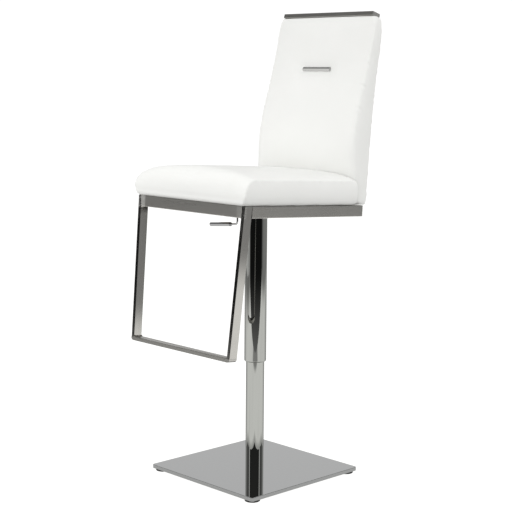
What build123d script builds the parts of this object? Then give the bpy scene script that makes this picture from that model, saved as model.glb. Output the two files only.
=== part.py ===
from build123d import *
import math
import os

# Adjustable swivel stool: square base plate, telescopic column with a gas cylinder, tilted seat frame with a
# footrest loop, upholstered seat and back. Millimetres and degrees, +Z up, stool front towards -Y.
# The origin is on the column axis at floor level. The seat is at the top of its travel.

# Base plate and feet
BASE_WIDTH = 400.0
BASE_THICKNESS = 10.0
BASE_CORNER = 7.0
BASE_EDGE = 1.2
FOOT_DIAMETER = 40.0
FOOT_HEIGHT = 6.0
FOOT_INSET = 22.0
FOOT_CHAMFER = 1.0

# Screws that hold the column foot to the base plate
BASE_SCREW_COUNT = 3
BASE_SCREW_CIRCLE = 35.0
BASE_SCREW_DIAMETER = 8.0
BASE_SCREW_HEAD = 15.0
BASE_SCREW_SINK = 0.4
BASE_SCREW_GRIP = 12.0

# Column tube, its foot and its guide bush
TUBE_DIAMETER = 50.0
TUBE_WALL = 2.0
FOOT_PLUG_HEIGHT = 24.0
FOOT_PLUG_RECESS_DIAMETER = 22.0
FOOT_PLUG_RECESS_DEPTH = 10.0
BUSH_LENGTH = 90.0
BUSH_FLANGE = 3.0
BUSH_FLANGE_INSET = 0.4

# Thrust bearing that the seat turns on
RACE_DIAMETER = 30.0
RACE_THICKNESS = 2.5
BALL_COUNT = 8
BALL_DIAMETER = 4.0
BALL_CIRCLE = 23.0
CAGE_THICKNESS = 2.0
CAGE_RIM = 1.5

# Gas cylinder and its rod
LIFT_TRAVEL = 250.0
LIFT_SPARE = 10.8
ROD_DIAMETER = 10.0
ROD_TIP_DIAMETER = 8.0
ROD_TIP_PROUD = 7.0
CLIP_DIAMETER = 16.0
CLIP_THICKNESS = 2.2
CLIP_GROOVE_DEPTH = 1.0
STOP_DIAMETER = 26.0
STOP_HEIGHT = 20.0
STOP_CHAMFER = 3.0
CYLINDER_DIAMETER = 28.0
CYLINDER_WALL = 2.0
CYLINDER_BELOW_BUSH = 4.0
CYLINDER_HEAD_ROOM = 116.0
CYLINDER_CAP = 10.0
SEAL_LENGTH = 20.0
PISTON_LENGTH = 14.0
PISTON_GAP = 2.0
TAPER_LENGTH = 45.0
TAPER_NARROWING = 1.6
VALVE_DIAMETER = 6.0
VALVE_PROUD = 5.0
VALVE_DEPTH = 9.0
VALVE_CHAMFER = 1.0

# Column sleeve, hung from the seat
SLEEVE_DIAMETER = 60.0
SLEEVE_WALL = 1.5
SLEEVE_ROLL = 3.5
SLEEVE_PLATE_GAP = 45.0
SLEEVE_RING_HEIGHT = 20.0
COLLAR_HEIGHT = 5.0
COLLAR_SPIGOT = 12.0
COLLAR_SPIGOT_WALL = 3.0

# Seat mechanism
SEAT_PITCH = 3.3
MECHANISM_DEPTH = 44.3
CHANNEL_WIDTH = 68.0
CHANNEL_LENGTH = 110.0
CHANNEL_WALL = 3.0
PLATE_WIDTH = 128.0
PLATE_LENGTH = 156.0
PLATE_THICKNESS = 3.0
PLATE_CORNER = 12.0
PLATE_BOLT_INSET = 13.0
BOLT_DIAMETER = 6.0
BOLT_HEAD_DIAMETER = 11.0
BOLT_HEAD_HEIGHT = 4.0
BOLT_GRIP = 9.0
HUB_DIAMETER = 44.0
HUB_LENGTH = 38.0
HUB_BELOW_TOP = 4.0

# Lever
LEVER_PIVOT_REACH = 22.0
LEVER_PIVOT_DIAMETER = 6.0
LEVER_BOSS_DIAMETER = 12.0
LEVER_WIDTH = 10.0
LEVER_NOSE_DIAMETER = 8.0
LEVER_NOSE_ROOM = 5.0
LEVER_NOSE_LIFT = 2.0
LEVER_ARM_HEIGHT = 6.0
LEVER_SOCKET_DIAMETER = 9.0
LEVER_SOCKET_LENGTH = 22.0
LEVER_SOCKET_BORE = 12.0
LEVER_ROD_DIAMETER = 5.0
LEVER_STEM_REACH = 74.0
LEVER_STEM_DROP = 58.0
LEVER_BEND = 9.0
LEVER_TIP_REACH = 183.0
LEVER_DROOP = 5.0
GRIP_DIAMETER = 11.5
GRIP_LENGTH = 81.0
GRIP_BORE_LENGTH = 60.0
GRIP_ROUND = 2.0
GRIP_COLLAR_DIAMETER = 8.5
GRIP_COLLAR_LENGTH = 4.0
EAR_THICKNESS = 3.0
EAR_REACH = 14.0
EAR_HEIGHT = 15.0
PIN_HEAD_DIAMETER = 9.0
PIN_HEAD_LENGTH = 1.6
LEVER_WINDOW_HEIGHT = 15.0
LEVER_WINDOW_SIDE_ROOM = 1.5

# Seat frame
FRAME_WIDTH = 412.0
FRAME_LENGTH = 435.0
FRAME_FRONT = 238.0
BAR_HEIGHT = 30.0
BAR_THICKNESS = 10.0
BAR_EDGE = 1.6
TAB_SIDE = 42.0
TAB_THICKNESS = 3.0
TAB_SCREW_INSET = 14.0
TAB_SCREW_DIAMETER = 5.0
TAB_SCREW_HEAD_DIAMETER = 9.0
TAB_SCREW_HEAD_HEIGHT = 3.0
TAB_SCREW_GRIP = 9.0

# Footrest loop
LOOP_HEIGHT = 389.0
LOOP_RAKE = 2.4
LOOP_NARROWING = 13.3
LEG_DEPTH = 27.0
LEG_THICKNESS = 10.0
LOOP_CORNER = 8.0

# Seat board and cushion
BOARD_THICKNESS = 12.0
BOARD_INSET = 16.0
BOARD_CORNER = 12.0
SEAT_OVERHANG = 8.0
SEAT_DRAW_IN = 6.0
SEAT_SIDE_HEIGHT = 63.0
SEAT_CROWN = 24.0
SEAT_SHOULDER_WIDTH = 62.0
SEAT_SHOULDER_RISE = 19.0
SEAT_NOSE = 38.0
SEAT_SEAM_ROUND = 6.0
SEAT_SKIRT_ROUND = 4.0
SEAT_BACK_GAP = 1.0

# Back frame and cushion
UPRIGHT_WIDTH = 30.0
UPRIGHT_THICKNESS = 6.0
UPRIGHT_SPACING = 240.0
SPINE_STRAIGHT = 54.0
BACK_LENGTH = 507.7
SPINE_LEAN = 12.7
TOP_BAR_WIDTH = 336.0
TOP_BAR_DEPTH = 30.0
TOP_BAR_HEIGHT = 12.0
CROSS_RAIL_HEIGHT = 25.0
CROSS_RAIL_THICKNESS = 4.0
BACK_FRONT_ROUND = 28.0
BACK_THIN_ROUND_SHARE = 0.55
BACK_REAR_ROUND = 10.0
BACK_REAR_CROWN = 2.0

# Sections of the back cushion: distance along the spine as a share of its length, inset of each side
# from the frame's side, depth in front of the spine, depth behind it, and crown of the front face
BACK_SECTIONS = [
    (0.00, 9.0, 28.0, 26.0, 1.0),
    (0.17, 13.0, 28.5, 29.0, 2.0),
    (0.32, 17.0, 35.0, 33.0, 6.0),
    (0.45, 19.0, 32.5, 33.0, 6.0),
    (0.61, 20.0, 22.0, 31.0, 6.0),
    (0.77, 21.0, 13.0, 28.5, 5.0),
    (0.91, 21.0, 12.5, 22.0, 3.0),
    (1.00, 28.0, 14.0, 14.5, 1.0),
]

# Metal strip pulled into the back
STRIP_HEIGHT_ON_SPINE = 360.0
STRIP_LENGTH = 101.0
STRIP_HEIGHT = 11.5
STRIP_BASE = 2.5
STRIP_RIDGE = 3.5
STRIP_STUD_DIAMETER = 5.0
STRIP_STUD_SPACING = 70.0
TUFT_DEPTH = 7.5
TUFT_RADIUS = 75.0
TUFT_END_MARGIN = 2.0

# Clearances
RUNNING_FIT = 0.05
WELD_FIT = 0.1
LOOSE_FIT = 0.3

# Heights that follow from the stack of parts, from the floor up
plate_bottom = FOOT_HEIGHT
plate_top = plate_bottom + BASE_THICKNESS
plug_top = plate_top + FOOT_PLUG_HEIGHT
ball_height = plug_top + RACE_THICKNESS + 2 * RUNNING_FIT + BALL_DIAMETER / 2
upper_race_bottom = ball_height + BALL_DIAMETER / 2 + 2 * RUNNING_FIT
rod_shoulder = upper_race_bottom + RACE_THICKNESS
stop_top = rod_shoulder + STOP_HEIGHT
cylinder_bottom = stop_top + LIFT_SPARE + LIFT_TRAVEL
bush_bottom = cylinder_bottom + CYLINDER_BELOW_BUSH
tube_top = bush_bottom + BUSH_LENGTH
piston_bottom = cylinder_bottom + SEAL_LENGTH + PISTON_GAP
rod_top = piston_bottom + PISTON_LENGTH
cylinder_top = rod_top + LIFT_TRAVEL + CYLINDER_HEAD_ROOM - PISTON_GAP
nose_bottom = cylinder_top + VALVE_PROUD + LOOSE_FIT
nose_height = nose_bottom + LEVER_NOSE_DIAMETER / 2
pivot_height = nose_height - LEVER_NOSE_LIFT
seat_height = nose_bottom + LEVER_NOSE_DIAMETER + LEVER_NOSE_ROOM + PLATE_THICKNESS
channel_bottom = seat_height - MECHANISM_DEPTH
sleeve_top = channel_bottom - COLLAR_HEIGHT
sleeve_bottom = plate_top + SLEEVE_PLATE_GAP + LIFT_TRAVEL
hub_top = cylinder_top - HUB_BELOW_TOP

# Radii used by more than one piece
tube_bore = TUBE_DIAMETER / 2 - TUBE_WALL
sleeve_bore = SLEEVE_DIAMETER / 2 - SLEEVE_WALL
cylinder_radius = CYLINDER_DIAMETER / 2
cylinder_bore = cylinder_radius - CYLINDER_WALL
rod_radius = ROD_DIAMETER / 2
rod_tip_radius = ROD_TIP_DIAMETER / 2
hub_radius = HUB_DIAMETER / 2

# Places of the lever's pivot and of the ears beside it
pivot_x = -LEVER_PIVOT_REACH
wall_inner_x = -CHANNEL_WIDTH / 2 + CHANNEL_WALL
ear_inner = LEVER_WIDTH / 2 + LOOSE_FIT
ear_outer = ear_inner + EAR_THICKNESS

# The seat frame, cushions and back are drawn in the seat's own tilted frame, whose XY plane is the top of the bars
seat_place = Location((0, 0, seat_height), (-SEAT_PITCH, 0, 0))
frame_half = FRAME_WIDTH / 2
frame_front = -FRAME_FRONT
frame_rear = FRAME_LENGTH - FRAME_FRONT
frame_inner = frame_half - BAR_THICKNESS

# Plane of the footrest loop's front face, in the seat's frame
rake = math.radians(LOOP_RAKE)
loop_plane = Plane((0, frame_front, 0), x_dir=(1, 0, 0), z_dir=(0, -math.cos(rake), math.sin(rake)))
loop_rear_plane = loop_plane.offset(-LEG_DEPTH)

# Where the back's spine runs, in the seat's frame
spine_y = frame_rear + UPRIGHT_THICKNESS / 2
spine_radius = (BACK_LENGTH - SPINE_STRAIGHT) / math.radians(SPINE_LEAN)

# Rear ends of the seat cushion and of its board, just in front of the back
seat_rear = spine_y - BACK_SECTIONS[1][2] - BACK_SECTIONS[1][4] - SEAT_BACK_GAP
board_rear = seat_rear - BOARD_INSET


def turned(points):
    """A solid of revolution about the column axis, from radius and height pairs."""
    return revolve(Plane.XZ * make_face(Polyline(*points, close=True)), Axis.Z)


def ring(outer, inner, bottom, height):
    """A plain ring about the column axis."""
    top = bottom + height
    return turned([(inner, bottom), (outer, bottom), (outer, top), (inner, top)])


def disc(radius, bottom, height):
    """A plain disc about the column axis."""
    return Pos(0, 0, bottom) * Cylinder(radius, height, align=(Align.CENTER, Align.CENTER, Align.MIN))


def group(solids):
    """Identical pieces that share one node."""
    return Compound(children=list(solids))


# Base


def base_screw(clearance, length):
    """A countersunk screw, or with a clearance the hole for it, its head down at the underside of the plate."""
    shank = BASE_SCREW_DIAMETER / 2 + clearance
    head = BASE_SCREW_HEAD / 2 + clearance
    head_bottom = plate_bottom + BASE_SCREW_SINK
    head_top = head_bottom + head - shank
    top = plate_top + length
    return turned([(0, head_bottom), (head, head_bottom), (shank, head_top), (shank, top), (0, top)])


def base_screw_places():
    return PolarLocations(BASE_SCREW_CIRCLE / 2, BASE_SCREW_COUNT)


def make_base_plate():
    plate = extrude(RectangleRounded(BASE_WIDTH, BASE_WIDTH, BASE_CORNER), BASE_THICKNESS)
    plate = fillet(plate.faces().sort_by(Axis.Z)[-1].edges(), BASE_EDGE)
    plate = Pos(0, 0, plate_bottom) * plate
    mouth = disc(BASE_SCREW_HEAD / 2 + LOOSE_FIT, plate_bottom - LOOSE_FIT, BASE_SCREW_SINK + LOOSE_FIT)
    hole = base_screw(LOOSE_FIT, BASE_THICKNESS) + mouth
    for place in base_screw_places():
        plate -= place * hole
    return plate


def make_base_feet():
    foot = disc(FOOT_DIAMETER / 2, 0, FOOT_HEIGHT)
    foot = chamfer(foot.faces().sort_by(Axis.Z)[0].edges(), FOOT_CHAMFER)
    spacing = BASE_WIDTH - 2 * FOOT_INSET
    return group(place * foot for place in GridLocations(spacing, spacing, 2, 2))


def make_base_screws():
    screw = base_screw(0, BASE_SCREW_GRIP)
    return group(place * screw for place in base_screw_places())


def make_column_foot():
    outer = tube_bore - WELD_FIT
    recess = FOOT_PLUG_RECESS_DIAMETER / 2
    recess_top = plate_top + FOOT_PLUG_RECESS_DEPTH
    bore = rod_tip_radius + RUNNING_FIT
    plug = turned(
        [
            (recess, plate_top),
            (outer, plate_top),
            (outer, plug_top),
            (bore, plug_top),
            (bore, recess_top),
            (recess, recess_top),
        ]
    )
    hole = disc(BASE_SCREW_DIAMETER / 2 + WELD_FIT, plate_top, BASE_SCREW_GRIP + LOOSE_FIT)
    for place in base_screw_places():
        plug -= place * hole
    return plug


def make_column_tube():
    return ring(TUBE_DIAMETER / 2, tube_bore, plate_top, tube_top - plate_top)


def make_guide_bush():
    outer = tube_bore - WELD_FIT
    inner = cylinder_radius + RUNNING_FIT
    flange = TUBE_DIAMETER / 2 - BUSH_FLANGE_INSET
    flange_top = tube_top + BUSH_FLANGE
    return turned(
        [
            (inner, bush_bottom),
            (outer, bush_bottom),
            (outer, tube_top),
            (flange, tube_top),
            (flange, flange_top),
            (inner, flange_top),
        ]
    )


# Thrust bearing and gas cylinder rod


def make_lower_race():
    return ring(RACE_DIAMETER / 2, rod_tip_radius + LOOSE_FIT, plug_top, RACE_THICKNESS)


def make_upper_race():
    return ring(RACE_DIAMETER / 2, rod_tip_radius + WELD_FIT, upper_race_bottom, RACE_THICKNESS)


def ball_places():
    return PolarLocations(BALL_CIRCLE / 2, BALL_COUNT)


def make_bearing_balls():
    ball = Pos(0, 0, ball_height) * Sphere(BALL_DIAMETER / 2)
    return group(place * ball for place in ball_places())


def make_bearing_cage():
    outer = (BALL_CIRCLE + BALL_DIAMETER) / 2 + CAGE_RIM
    inner = (BALL_CIRCLE - BALL_DIAMETER) / 2 - CAGE_RIM
    bottom = ball_height - CAGE_THICKNESS / 2
    cage = ring(outer, inner, bottom, CAGE_THICKNESS)
    pocket = disc(BALL_DIAMETER / 2 + WELD_FIT, bottom, CAGE_THICKNESS)
    for place in ball_places():
        cage -= place * pocket
    return cage


def clip_bottom():
    """Underside of the clip, just below the column foot's inner face."""
    return plate_top + FOOT_PLUG_RECESS_DEPTH - LOOSE_FIT - CLIP_THICKNESS


def make_piston_rod():
    tip = plate_top + FOOT_PLUG_RECESS_DEPTH - ROD_TIP_PROUD
    groove = rod_tip_radius - CLIP_GROOVE_DEPTH
    groove_bottom = clip_bottom() - WELD_FIT
    groove_top = clip_bottom() + CLIP_THICKNESS + WELD_FIT
    return turned(
        [
            (0, tip),
            (rod_tip_radius, tip),
            (rod_tip_radius, groove_bottom),
            (groove, groove_bottom),
            (groove, groove_top),
            (rod_tip_radius, groove_top),
            (rod_tip_radius, rod_shoulder),
            (rod_radius, rod_shoulder),
            (rod_radius, rod_top),
            (0, rod_top),
        ]
    )


def make_rod_clip():
    inner = rod_tip_radius - CLIP_GROOVE_DEPTH + WELD_FIT
    clip = ring(CLIP_DIAMETER / 2, inner, clip_bottom(), CLIP_THICKNESS)
    mouth = Box(CLIP_DIAMETER, 2 * inner, CLIP_THICKNESS, align=(Align.MIN, Align.CENTER, Align.MIN))
    return clip - Pos(0, 0, clip_bottom()) * mouth


def make_stop_bumper():
    outer = STOP_DIAMETER / 2
    inner = rod_radius + WELD_FIT
    return turned(
        [
            (inner, rod_shoulder),
            (outer, rod_shoulder),
            (outer, stop_top - STOP_CHAMFER),
            (outer - STOP_CHAMFER, stop_top),
            (inner, stop_top),
        ]
    )


def make_piston():
    return ring(cylinder_bore - RUNNING_FIT, rod_radius + WELD_FIT, piston_bottom, PISTON_LENGTH)


# Gas cylinder and column sleeve, which rise with the seat


def taper_radius(height):
    """Outer radius of the gas cylinder's upper taper at a height."""
    share = (height - (cylinder_top - TAPER_LENGTH)) / TAPER_LENGTH
    return cylinder_radius - TAPER_NARROWING / 2 * share


def make_gas_cylinder():
    valve_bore = VALVE_DIAMETER / 2 + RUNNING_FIT
    cap_bottom = cylinder_top - CYLINDER_CAP
    return turned(
        [
            (cylinder_bore, cylinder_bottom),
            (cylinder_radius, cylinder_bottom),
            (cylinder_radius, cylinder_top - TAPER_LENGTH),
            (taper_radius(cylinder_top), cylinder_top),
            (valve_bore, cylinder_top),
            (valve_bore, cap_bottom),
            (cylinder_bore, cap_bottom),
        ]
    )


def make_cylinder_seal():
    return ring(cylinder_bore - WELD_FIT, rod_radius + RUNNING_FIT, cylinder_bottom, SEAL_LENGTH)


def make_valve_pin():
    radius = VALVE_DIAMETER / 2
    bottom = cylinder_top - VALVE_DEPTH
    top = cylinder_top + VALVE_PROUD
    return turned(
        [
            (0, bottom),
            (radius, bottom),
            (radius, top - VALVE_CHAMFER),
            (radius - VALVE_CHAMFER, top),
            (0, top),
        ]
    )


def make_taper_hub():
    bottom = hub_top - HUB_LENGTH
    low = taper_radius(bottom) + RUNNING_FIT
    high = taper_radius(hub_top) + RUNNING_FIT
    return turned([(low, bottom), (hub_radius, bottom), (hub_radius, hub_top), (high, hub_top)])


def make_sleeve_collar():
    outer = SLEEVE_DIAMETER / 2
    spigot = sleeve_bore - WELD_FIT
    inner = spigot - COLLAR_SPIGOT_WALL
    spigot_bottom = sleeve_top - COLLAR_SPIGOT
    return turned(
        [
            (inner, spigot_bottom),
            (spigot, spigot_bottom),
            (spigot, sleeve_top),
            (outer, sleeve_top),
            (outer, channel_bottom),
            (inner, channel_bottom),
        ]
    )


def make_column_sleeve():
    """The sleeve, with its lower rim rolled in towards the tube."""
    outer = SLEEVE_DIAMETER / 2
    lip = outer - SLEEVE_ROLL
    roll_top = sleeve_bottom + SLEEVE_ROLL
    lip_top = sleeve_bottom + SLEEVE_WALL
    outer_roll = RadiusArc((outer, roll_top), (lip, sleeve_bottom), SLEEVE_ROLL)
    inner_roll = RadiusArc((lip, lip_top), (sleeve_bore, roll_top), -(SLEEVE_ROLL - SLEEVE_WALL))
    outline = [
        Line((sleeve_bore, sleeve_top), (outer, sleeve_top)),
        Line((outer, sleeve_top), (outer, roll_top)),
        outer_roll,
        Line((lip, sleeve_bottom), (lip, lip_top)),
        inner_roll,
        Line((sleeve_bore, roll_top), (sleeve_bore, sleeve_top)),
    ]
    return revolve(Plane.XZ * make_face(outline), Axis.Z)


def make_sleeve_ring():
    inner = TUBE_DIAMETER / 2 + RUNNING_FIT
    return ring(sleeve_bore - WELD_FIT, inner, sleeve_bottom + SLEEVE_ROLL, SLEEVE_RING_HEIGHT)


# Seat mechanism


def lever_window():
    """The opening in the channel's wall that the lever's socket passes through."""
    width = LEVER_WIDTH + 2 * LEVER_WINDOW_SIDE_ROOM
    block = Box(2 * CHANNEL_WALL, width, LEVER_WINDOW_HEIGHT)
    return Pos(wall_inner_x - CHANNEL_WALL / 2, 0, pivot_height) * block


def make_mechanism_channel():
    height = 2 * MECHANISM_DEPTH
    standing = (Align.CENTER, Align.CENTER, Align.MIN)
    channel = Box(CHANNEL_WIDTH, CHANNEL_LENGTH, height, align=standing)
    hollow = Box(CHANNEL_WIDTH - 2 * CHANNEL_WALL, CHANNEL_LENGTH, height, align=standing)
    channel -= Pos(0, 0, CHANNEL_WALL) * hollow
    channel = Pos(0, 0, channel_bottom) * channel
    plate_underside = Plane(seat_place * Pos(0, 0, -PLATE_THICKNESS))
    channel = split(channel, bisect_by=plate_underside, keep=Keep.BOTTOM)
    channel -= disc(hub_radius + WELD_FIT, channel_bottom, CHANNEL_WALL)
    return channel - lever_window()


def plate_bolt_places():
    across = PLATE_WIDTH - 2 * PLATE_BOLT_INSET
    along = PLATE_LENGTH - 2 * PLATE_BOLT_INSET
    return GridLocations(across, along, 2, 2)


def make_top_plate():
    outline = RectangleRounded(PLATE_WIDTH, PLATE_LENGTH, PLATE_CORNER)
    plate = Pos(0, 0, -PLATE_THICKNESS) * extrude(outline, PLATE_THICKNESS)
    hole = disc(BOLT_DIAMETER / 2 + LOOSE_FIT, -PLATE_THICKNESS, PLATE_THICKNESS)
    for place in plate_bolt_places():
        plate -= place * hole
    return seat_place * plate


def headed_screw(radius, head_radius, head_height, head_top, grip):
    """A screw that points up, its head's upper face at head_top and its tip a grip above the seat plane."""
    head_bottom = head_top - head_height
    return turned(
        [
            (0, head_bottom),
            (head_radius, head_bottom),
            (head_radius, head_top),
            (radius, head_top),
            (radius, grip),
            (0, grip),
        ]
    )


def make_plate_bolts():
    bolt = headed_screw(BOLT_DIAMETER / 2, BOLT_HEAD_DIAMETER / 2, BOLT_HEAD_HEIGHT, -PLATE_THICKNESS, BOLT_GRIP)
    return group(seat_place * place * bolt for place in plate_bolt_places())


# Lever and its pivot


def pivot_cylinder(radius, length):
    """A round bar along the lever's pivot axis, centred on the lever."""
    return Pos(pivot_x, 0, pivot_height) * Rot(90, 0, 0) * Cylinder(radius, length)


def make_pivot_bracket():
    hanging = (Align.MIN, Align.CENTER, Align.MAX)
    top = pivot_height + EAR_HEIGHT / 2
    height = top - hub_top - LOOSE_FIT
    block = Box(EAR_REACH, 2 * ear_outer, height, align=hanging)
    gap = Box(EAR_REACH, 2 * ear_inner, height, align=hanging)
    window = Box(EAR_REACH, 2 * ear_inner, EAR_HEIGHT, align=hanging)
    bracket = Pos(wall_inner_x, 0, top) * (block - Pos(EAR_THICKNESS / 2, 0, 0) * gap - window)
    return bracket - pivot_cylinder(LEVER_PIVOT_DIAMETER / 2 + WELD_FIT / 2, 2 * ear_outer)


def make_lever_pin():
    pin = pivot_cylinder(LEVER_PIVOT_DIAMETER / 2, 2 * ear_outer + 2 * PIN_HEAD_LENGTH)
    head = pivot_cylinder(PIN_HEAD_DIAMETER / 2, PIN_HEAD_LENGTH)
    for side in (-1, 1):
        pin += Pos(0, side * (ear_outer + LOOSE_FIT / 2 + PIN_HEAD_LENGTH / 2), 0) * head
    return pin


def make_lever_rocker():
    nose = Pos(0, nose_height) * Circle(LEVER_NOSE_DIAMETER / 2)
    root = Pos(pivot_x, nose_height) * Circle(LEVER_ARM_HEIGHT / 2)
    boss = Pos(pivot_x, pivot_height) * Circle(LEVER_BOSS_DIAMETER / 2)
    hole = Pos(pivot_x, pivot_height) * Circle(LEVER_PIVOT_DIAMETER / 2 + RUNNING_FIT)
    outline = make_hull((nose + root).edges()) + boss - hole
    rocker = extrude(Plane.XZ * outline, LEVER_WIDTH / 2, both=True)
    socket = Pos(pivot_x - LEVER_SOCKET_LENGTH, 0, pivot_height) * Rot(0, 90, 0) * Cylinder(
        LEVER_SOCKET_DIAMETER / 2,
        LEVER_SOCKET_LENGTH,
        align=(Align.CENTER, Align.CENTER, Align.MIN),
    )
    rocker += socket - pivot_cylinder(LEVER_BOSS_DIAMETER / 2 - RUNNING_FIT, LEVER_WIDTH)
    bore = Pos(pivot_x - LEVER_SOCKET_LENGTH, 0, pivot_height) * Rot(0, 90, 0) * Cylinder(
        LEVER_ROD_DIAMETER / 2 + RUNNING_FIT,
        LEVER_SOCKET_BORE,
        align=(Align.CENTER, Align.CENTER, Align.MIN),
    )
    return rocker - bore


stem_bottom = pivot_height - LEVER_STEM_DROP
droop_slope = math.tan(math.radians(LEVER_DROOP))
tip_height = stem_bottom - (LEVER_TIP_REACH - LEVER_STEM_REACH) * droop_slope
lever_run = Vector(-(LEVER_TIP_REACH - LEVER_STEM_REACH), 0, tip_height - stem_bottom).normalized()
lever_tip = Vector(-LEVER_TIP_REACH, 0, tip_height)
grip_start = lever_tip - lever_run * GRIP_LENGTH
rod_end = grip_start + lever_run * (GRIP_BORE_LENGTH - LOOSE_FIT)


def make_lever_rod():
    start = Vector(pivot_x - LEVER_SOCKET_LENGTH + LEVER_SOCKET_BORE - LOOSE_FIT, 0, pivot_height)
    shoulder = Vector(-LEVER_STEM_REACH, 0, pivot_height)
    elbow = Vector(-LEVER_STEM_REACH, 0, stem_bottom)
    path = FilletPolyline(start, shoulder, elbow, rod_end, radius=LEVER_BEND)
    section = Plane(start, z_dir=shoulder - start) * Circle(LEVER_ROD_DIAMETER / 2)
    return sweep(section, path)


def along_lever(outer, inner, start, length):
    """A tube along the lever's outer run, from a distance before or after the grip's start."""
    plane = Plane(grip_start + lever_run * start, z_dir=lever_run)
    tube = extrude(plane * Circle(outer), length)
    return tube - extrude(plane * Circle(inner), length) if inner else tube


def make_lever_grip():
    grip = along_lever(GRIP_DIAMETER / 2, 0, 0, GRIP_LENGTH)
    grip = fillet(grip.edges().filter_by(GeomType.CIRCLE).sort_by(Axis.X)[0], GRIP_ROUND)
    return grip - along_lever(LEVER_ROD_DIAMETER / 2 + RUNNING_FIT, 0, 0, GRIP_BORE_LENGTH)


def make_grip_collar():
    inner = LEVER_ROD_DIAMETER / 2 + RUNNING_FIT
    return along_lever(GRIP_COLLAR_DIAMETER / 2, inner, -GRIP_COLLAR_LENGTH, GRIP_COLLAR_LENGTH)


# Seat frame and footrest loop, in the seat's frame


def bar(width, length, height):
    """A flat bar with eased long edges, its top in the seat plane."""
    block = Box(width, length, height, align=(Align.CENTER, Align.CENTER, Align.MAX))
    axis = Axis.X if width > length else Axis.Y
    return fillet(block.edges().filter_by(axis), BAR_EDGE)


def loop_half(drop):
    """Outer half width of the footrest loop at a distance below its top."""
    return frame_half - LOOP_NARROWING * drop / LOOP_HEIGHT


def make_leg(side):
    foot_drop = LOOP_HEIGHT - LEG_THICKNESS
    over = LEG_THICKNESS
    corners = [
        (loop_half(-over), over),
        (loop_half(foot_drop), -foot_drop),
        (loop_half(foot_drop) - LEG_THICKNESS, -foot_drop),
        (loop_half(-over) - LEG_THICKNESS, over),
    ]
    outline = Polyline(*[(side * x, y) for x, y in corners], close=True)
    leg = extrude(loop_plane * make_face(outline), -LEG_DEPTH)
    long_edges = leg.edges().filter_by(lambda edge: edge.length > foot_drop)
    leg = fillet(long_edges, BAR_EDGE)
    return split(leg, bisect_by=Plane.XY, keep=Keep.BOTTOM)


def make_foot_bar():
    top_drop = LOOP_HEIGHT - LEG_THICKNESS
    top_half = loop_half(top_drop)
    low_half = loop_half(LOOP_HEIGHT)
    corners = [(-top_half, -top_drop), (-low_half, -LOOP_HEIGHT), (low_half, -LOOP_HEIGHT), (top_half, -top_drop)]
    face = make_face(Polyline(*corners, close=True))
    face = fillet(face.vertices().group_by(Axis.Y)[0], LOOP_CORNER)
    foot_bar = extrude(loop_plane * face, -LEG_DEPTH)
    ends = foot_bar.edges().filter_by(Axis.X).group_by(Axis.Z)
    return fillet(ends[0] + ends[-1], BAR_EDGE)


def make_side_rail(side):
    rail = bar(BAR_THICKNESS, FRAME_LENGTH, BAR_HEIGHT)
    middle = (frame_front + frame_rear) / 2
    rail = Pos(side * (frame_half - BAR_THICKNESS / 2), middle, 0) * rail
    return split(rail, bisect_by=loop_rear_plane, keep=Keep.BOTTOM)


def make_rear_rail():
    rail = bar(2 * frame_inner, BAR_THICKNESS, BAR_HEIGHT)
    return Pos(0, frame_rear - BAR_THICKNESS / 2, 0) * rail


def make_front_rail(left_leg, right_leg):
    rail = bar(2 * frame_inner, BAR_THICKNESS, BAR_HEIGHT)
    return Pos(0, frame_front + BAR_THICKNESS / 2, 0) * rail - left_leg - right_leg


def tab_corners():
    """Where the four tabs start on the side rails, with the direction that each runs in from there."""
    front = frame_front + BAR_THICKNESS
    return [(side * frame_inner, y, -side, way) for side in (-1, 1) for y, way in ((front, 1), (board_rear, -1))]


def make_corner_tabs(leg_pair):
    tabs = []
    for x, y, across, along in tab_corners():
        points = [(x, y), (x + across * TAB_SIDE, y), (x, y + along * TAB_SIDE)]
        tab = extrude(make_face(Polyline(*points, close=True)), TAB_THICKNESS)
        tab = Pos(0, 0, -TAB_THICKNESS) * tab
        hole = disc(TAB_SCREW_DIAMETER / 2 + LOOSE_FIT, -TAB_THICKNESS, TAB_THICKNESS)
        tab -= Pos(x + across * TAB_SCREW_INSET, y + along * TAB_SCREW_INSET, 0) * hole
        for leg in leg_pair:
            tab -= leg
        tabs.append(tab)
    return group(tabs)


def tab_screw_places():
    return [Pos(x + a * TAB_SCREW_INSET, y + b * TAB_SCREW_INSET, 0) for x, y, a, b in tab_corners()]


def make_tab_screws():
    screw = headed_screw(
        TAB_SCREW_DIAMETER / 2,
        TAB_SCREW_HEAD_DIAMETER / 2,
        TAB_SCREW_HEAD_HEIGHT,
        -TAB_THICKNESS,
        TAB_SCREW_GRIP,
    )
    return group(seat_place * place * screw for place in tab_screw_places())


# Seat board and cushion, in the seat's frame


def board_block(clearance):
    """The seat board, or with a clearance the pocket for it under the cushion."""
    width = 2 * (frame_half - BOARD_INSET + clearance)
    front = frame_front + BOARD_INSET - clearance
    rear = board_rear + clearance
    outline = Pos(0, (front + rear) / 2) * RectangleRounded(width, rear - front, BOARD_CORNER)
    return extrude(outline, BOARD_THICKNESS + clearance)


def make_seat_board():
    board = board_block(0)
    bolt_hole = disc(BOLT_DIAMETER / 2 + WELD_FIT, 0, BOLT_GRIP + LOOSE_FIT)
    for place in plate_bolt_places():
        board -= place * bolt_hole
    screw_hole = disc(TAB_SCREW_DIAMETER / 2 + WELD_FIT, 0, TAB_SCREW_GRIP + LOOSE_FIT)
    for place in tab_screw_places():
        board -= place * screw_hole
    return board


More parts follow.
